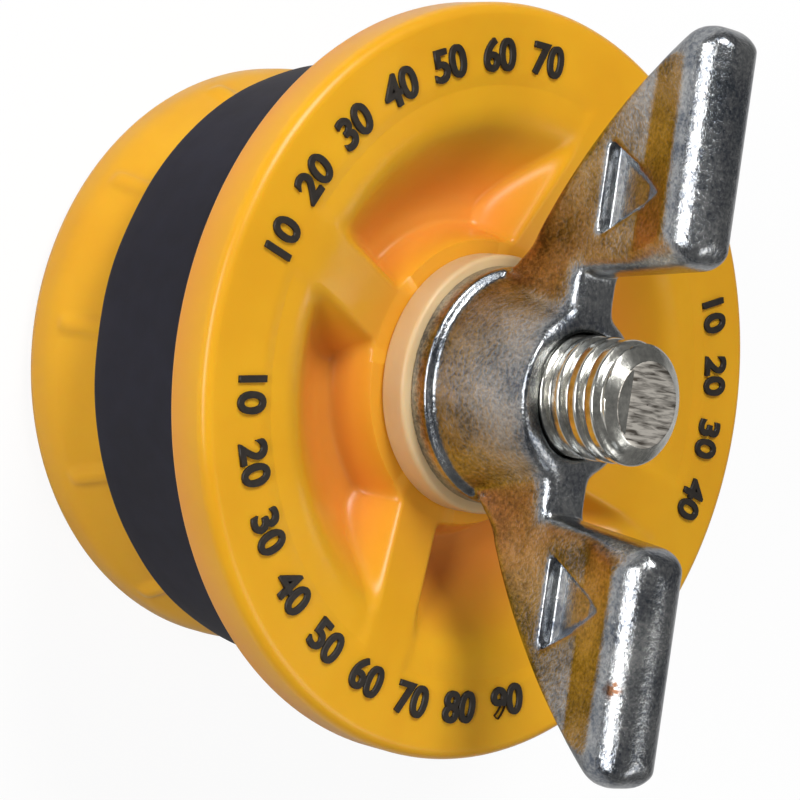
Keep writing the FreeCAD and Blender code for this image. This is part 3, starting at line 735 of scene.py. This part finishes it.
def make_bolt():
    """Helical thread from under the washer to the ground end, square neck and domed head in the back plate."""
    dome = HEAD_SEAT - BOLT_LOW - HEAD_EDGE
    sphere = (HEAD_RADIUS ** 2 + dome ** 2) / (2 * dome)
    spread_angle = math.degrees(math.asin(HEAD_RADIUS / sphere))
    rows = int((BOLT_END - THREAD_LOW) / THREAD_ROW)
    section = (
        arc(0.0, BOLT_LOW + sphere, sphere, -90 + 0.3, -90 + spread_angle, 16)
        + [(HEAD_RADIUS, HEAD_SEAT), (CREST, HEAD_SEAT)]
        + spread([(CREST, THREAD_LOW), (CREST, BOLT_END)], rows)
        + spread([(END_RADIUS - 0.1 * MM, BOLT_END + END_LIFT), (0.05 * MM, BOLT_END + END_LIFT)], 12)
    )
    bolt = turned("threaded_bolt", section, THREAD_SIDES)
    for vertex in bolt.data.vertices:
        x, y, z = vertex.co
        radius = math.hypot(x, y)
        if z > BOLT_END + NEAR:
            # The end was cut with a second, slanted stroke on one side.
            vertex.co.z = z - max(0.0, -1.3 * MM - y) * 0.2
            continue
        if z < THREAD_LOW or radius < CREST - 0.05 * MM:
            continue
        scale = thread_radius(math.atan2(y, x), z) / radius
        vertex.co.x = x * scale
        vertex.co.y = y * scale
    smooth(bolt, 60)
    clear_selection()
    bpy.ops.mesh.primitive_cube_add(
        size=1, location=(0, 0, HEAD_SEAT + NECK_HEIGHT / 2), scale=(NECK_WIDTH, NECK_WIDTH, NECK_HEIGHT)
    )
    neck = bpy.context.active_object
    bpy.ops.object.mode_set(mode="EDIT")
    bpy.ops.mesh.select_all(action="SELECT")
    bpy.ops.mesh.bevel(offset=NECK_EDGE, segments=3, affect="EDGES")
    bpy.ops.object.mode_set(mode="OBJECT")
    work_on(bolt)
    neck.select_set(True)
    bpy.ops.object.join()
    bolt = settle(bolt, "threaded_bolt")
    finish(bolt, ZINC_BOLT, "bolt_and_back", "carriage_bolt")


make_front_plate()
make_dial_numbers()
make_back_plate()
make_sealing_ring()
make_washer()
make_wing_nut()
make_bolt()

# Floor, light and camera.
clear_selection()
bpy.ops.mesh.primitive_plane_add(size=6.0, location=(0, 0, 0))
floor = bpy.context.active_object
floor.name = "floor"
floor_coat, floor_tree, floor_shader = material("white_floor", Roughness=0.9)
floor_shader.inputs["Base Color"].default_value = linear("#D4D4D4")
path = add(floor_tree, "ShaderNodeLightPath")
glow = add(floor_tree, "ShaderNodeEmission", {"Color": (1, 1, 1, 1), "Strength": 1.06})
seen = add(floor_tree, "ShaderNodeMath", {0: path.outputs["Is Camera Ray"], 1: 0.86}, operation="MULTIPLY")
blend = add(floor_tree, "ShaderNodeMixShader", {0: seen.outputs[0], 1: floor_shader.outputs[0], 2: glow.outputs[0]})
floor_tree.links.new(blend.outputs[0], floor_tree.nodes["Material Output"].inputs["Surface"])
floor.data.materials.append(floor_coat)

world = bpy.data.worlds.new("studio")
bpy.context.scene.world = world
world.use_nodes = True
world.node_tree.nodes["Background"].inputs["Color"].default_value = (1, 1, 1, 1)
world.node_tree.nodes["Background"].inputs["Strength"].default_value = 0.16


def soft_light(name, spot, size, power):
    """A soft studio panel, turned towards the middle of the plug."""
    data = bpy.data.lights.new(name, "AREA")
    data.shape = "RECTANGLE"
    data.size, data.size_y = size
    data.energy = power
    lamp = bpy.data.objects.new(name, data)
    bpy.context.scene.collection.objects.link(lamp)
    spot = Vector(spot)
    aim = Vector((0, 0, 0.02)) - spot
    lamp.matrix_world = Matrix.Translation(spot) @ aim.to_track_quat("-Z", "Y").to_matrix().to_4x4()


soft_light("key", (-0.34, -0.1, 0.4), (0.2, 0.2), 1.9)
soft_light("front", (0, -0.45, 0.25), (0.34, 0.1), 1.4)
soft_light("fill", (0.25, 0.2, 0.45), (0.25, 0.25), 0.5)

# The camera stands in front of the plug, 46 degrees up, and is rolled so that the bolt points to the right.
CAMERA_RISE = math.radians(46.43)
CAMERA_ROLL = math.radians(98.19)
CAMERA_AWAY = 174.0 * MM
CAMERA_RIGHT = 4.18 * MM
CAMERA_UP = 1.24 * MM
FOCAL_PIXELS = 2700
IMAGE_PIXELS = 800

back = Vector((0, -math.cos(CAMERA_RISE), math.sin(CAMERA_RISE)))
level_right = Vector((1, 0, 0))
level_up = back.cross(level_right)
right = math.cos(CAMERA_ROLL) * level_right + math.sin(CAMERA_ROLL) * level_up
up = -math.sin(CAMERA_ROLL) * level_right + math.cos(CAMERA_ROLL) * level_up
aim = Vector((0, 0, RING_HIGH))
spot = aim + back * CAMERA_AWAY - right * CAMERA_RIGHT - up * CAMERA_UP
camera_data = bpy.data.cameras.new("camera")
camera_data.sensor_width = 36
camera_data.lens = FOCAL_PIXELS / IMAGE_PIXELS * camera_data.sensor_width
camera_data.clip_start = 0.01
camera = bpy.data.objects.new("camera", camera_data)
bpy.context.scene.collection.objects.link(camera)
camera.matrix_world = Matrix.Translation(spot) @ Matrix((right, up, back)).transposed().to_4x4()
bpy.context.scene.camera = camera
bpy.context.scene.view_settings.view_transform = "Standard"
